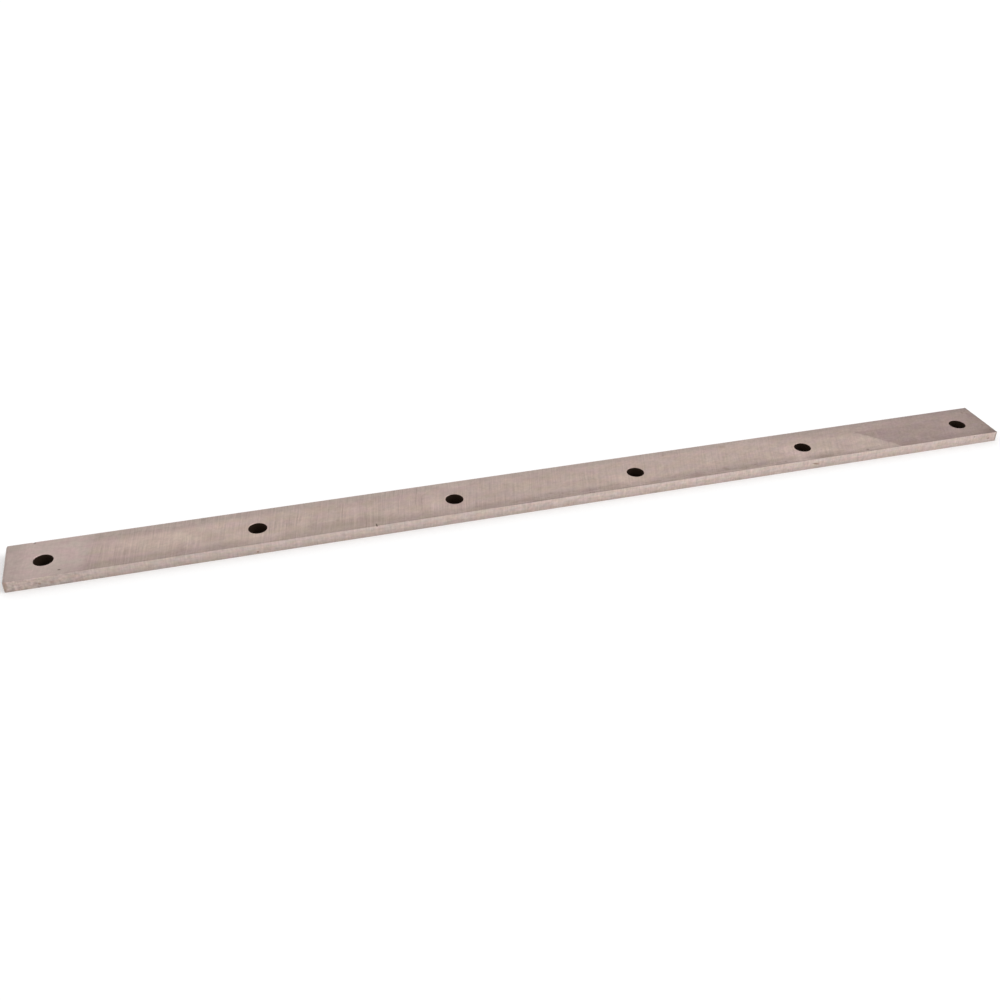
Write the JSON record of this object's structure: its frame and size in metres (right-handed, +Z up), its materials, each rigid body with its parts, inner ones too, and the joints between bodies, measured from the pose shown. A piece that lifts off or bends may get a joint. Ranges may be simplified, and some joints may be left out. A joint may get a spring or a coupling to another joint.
{
  "type": "shear blade",
  "caption": "Straight flat shear blade: a ground steel bar with square cutting edges and a row of through holes for the screws that clamp it to its seat.",
  "frame": {"origin": "middle of the underside, at the centre of the bar's length and width", "axes": "+X along the blade, +Y across it from the front edge to the back edge, +Z up through its thickness"},
  "size_m": [0.535, 0.03, 0.0058],
  "materials": {
    "ground_steel": "satin, surface ground across its width"
  },
  "bodies": {
    "root": {"blade": "ground_steel"}
  },
  "joints": []
}
